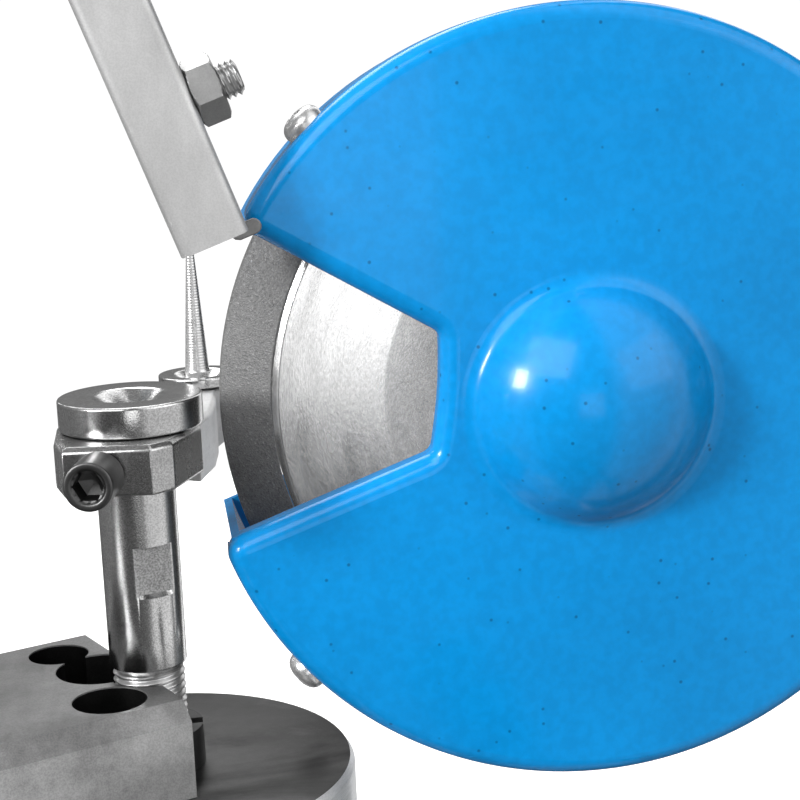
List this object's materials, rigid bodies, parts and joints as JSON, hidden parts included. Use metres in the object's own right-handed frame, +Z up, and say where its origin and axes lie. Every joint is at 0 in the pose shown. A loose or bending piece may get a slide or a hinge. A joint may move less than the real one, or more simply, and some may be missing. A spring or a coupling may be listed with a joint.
{
  "type": "bench grinder",
  "caption": "Bench grinder with a dish wheel in a notched round guard, tilting motor head, lever feed, work column with blade rest and an index arm.",
  "frame": {"origin": "centre of the four base bolt holes, on the bench", "axes": "+Z up, -Y towards the user, +X to the user's right; the wheel axis lies along Y"},
  "size_m": [0.3918, 0.2833, 0.324],
  "materials": {
    "blue_enamel": "gloss",
    "casting_paint": "satin hammered paint",
    "dark_cover": "satin",
    "polished_steel": "polished",
    "ground_steel": "ground",
    "zinc_sheet": "zinc plated",
    "black_oxide": "black oxide",
    "wheel_alloy": "turned",
    "abrasive": "bonded grit",
    "black_plastic": "moulded",
    "green_plastic": "moulded",
    "red_plastic": "moulded",
    "bronze": "machined",
    "stator_steel": "laminated",
    "copper_coil": "varnished"
  },
  "bodies": {
    "base": {"base_casting": "casting_paint", "column": "ground_steel", "column_screws": "black_oxide", "post": "polished_steel", "lock_collar": "black_oxide", "support_rod": "polished_steel", "cross_clamp": "casting_paint", "cross_rod": "polished_steel", "arm_bracket": "casting_paint", "switch_box": "dark_cover", "lever_bush": "bronze"},
    "start_button": {"start_button": "green_plastic"},
    "stop_button": {"stop_button": "red_plastic"},
    "swing_block": {"holed_block": "ground_steel", "block_screws": "black_oxide", "blade_rail": "ground_steel", "rail_stop": "black_oxide"},
    "blade_slider": {"blade_slider": "ground_steel"},
    "slider_knob": {"slider_knob": "black_plastic"},
    "centring_cone": {"centring_cone": "polished_steel"},
    "cone_nut": {"cone_nut": "black_plastic"},
    "rest_arm": {"clamp_arm": "ground_steel", "rest_ring": "polished_steel", "stop_ring": "polished_steel", "stop_pin": "polished_steel", "clamp_screw": "black_oxide"},
    "index_arm": {"channel_bar": "zinc_sheet", "pawl_bolt": "zinc_sheet", "pawl_nut": "zinc_sheet"},
    "arm_knob": {"arm_pivot_bolt": "black_plastic"},
    "pawl": {"pawl": "zinc_sheet"},
    "carriage": {"carriage": "casting_paint", "feed_rack": "ground_steel", "head_bracket": "casting_paint", "bracket_screws": "black_oxide"},
    "feed_lever": {"pinion_shaft": "polished_steel", "feed_lever": "black_oxide", "lever_grip": "black_plastic"},
    "head": {"guard_shell": "blue_enamel", "guard_cover": "blue_enamel", "cover_screws": "polished_steel", "front_bell": "casting_paint", "motor_housing": "casting_paint", "rear_bell": "casting_paint", "fan_cover": "dark_cover", "stator_core": "stator_steel", "windings": "copper_coil", "front_bearing": "polished_steel", "rear_bearing": "polished_steel", "tilt_plate": "casting_paint", "tilt_bolt": "zinc_sheet", "capacitor_box": "dark_cover", "cable_gland": "black_plastic"},
    "spindle": {"motor_shaft": "polished_steel", "rotor_core": "wheel_alloy", "cooling_fan": "black_plastic", "wheel_flanges": "ground_steel", "wheel_dish": "wheel_alloy", "abrasive_rim": "abrasive", "spindle_nut": "black_oxide"}
  },
  "joints": [
    {"name": "start_press", "type": "slide", "parent": "base", "child": "start_button", "axis": [0, 1, 0], "range_m": [0, 0.003], "stiffness_N_per_m": 400},
    {"name": "stop_press", "type": "slide", "parent": "base", "child": "stop_button", "axis": [0, 1, 0], "range_m": [0, 0.003], "stiffness_N_per_m": 400},
    {"name": "block_swing", "type": "hinge", "parent": "base", "child": "swing_block", "pos_m": [-0.0198, -0.07, 0.15], "axis": [0, 0, 1], "range_deg": [-20, 15]},
    {"name": "slider_travel", "type": "slide", "parent": "swing_block", "child": "blade_slider", "axis": [-0.9135, -0.4067, 0], "range_m": [-0.04, 0.06]},
    {"name": "slider_knob_turn", "type": "hinge", "parent": "blade_slider", "child": "slider_knob", "pos_m": [-0.12789, -0.13454, 0.164], "axis": [0.4067, -0.9135, 0], "continuous": true},
    {"name": "cone_spin", "type": "hinge", "parent": "blade_slider", "child": "centring_cone", "pos_m": [-0.13603, -0.11627, 0.207], "axis": [0, 0, 1], "continuous": true},
    {"name": "cone_nut_turn", "type": "hinge", "parent": "blade_slider", "child": "cone_nut", "pos_m": [-0.13603, -0.11627, 0.2183], "axis": [0, 0, 1], "continuous": true},
    {"name": "rest_arm_swing", "type": "hinge", "parent": "base", "child": "rest_arm", "pos_m": [-0.0198, -0.07, 0.2], "axis": [0, 0, 1], "range_deg": [0, 30]},
    {"name": "index_arm_swing", "type": "hinge", "parent": "base", "child": "index_arm", "pos_m": [-0.03377, -0.078, 0.31198], "axis": [0, 1, 0], "range_deg": [0, 25]},
    {"name": "arm_knob_turn", "type": "hinge", "parent": "base", "child": "arm_knob", "pos_m": [-0.03377, -0.078, 0.31198], "axis": [0, -1, 0], "continuous": true},
    {"name": "pawl_swing", "type": "hinge", "parent": "index_arm", "child": "pawl", "pos_m": [-0.01229, -0.0724, 0.25265], "axis": [0.9403, 0, 0.3404], "range_deg": [-8, 0], "stiffness_Nm_per_rad": 0.01, "springref_deg": 5.73},
    {"name": "head_feed", "type": "slide", "parent": "base", "child": "carriage", "axis": [1, 0, 0], "range_m": [0, 0.02]},
    {"name": "lever_turn", "type": "hinge", "parent": "base", "child": "feed_lever", "pos_m": [0.107, -0.002, 0.028], "axis": [0, 1, 0], "range_deg": [0, 100]},
    {"name": "head_tilt", "type": "hinge", "parent": "carriage", "child": "head", "pos_m": [0.134, -0.05, 0.2], "axis": [1, 0, 0], "range_deg": [-12, 0]},
    {"name": "spindle_spin", "type": "hinge", "parent": "head", "child": "spindle", "pos_m": [0.058, -0.054, 0.2], "axis": [0, 1, 0], "continuous": true}
  ],
  "couplings": [
    {"joint": "lever_turn", "follows": "head_feed", "rad_per_m": 83.333}
  ]
}
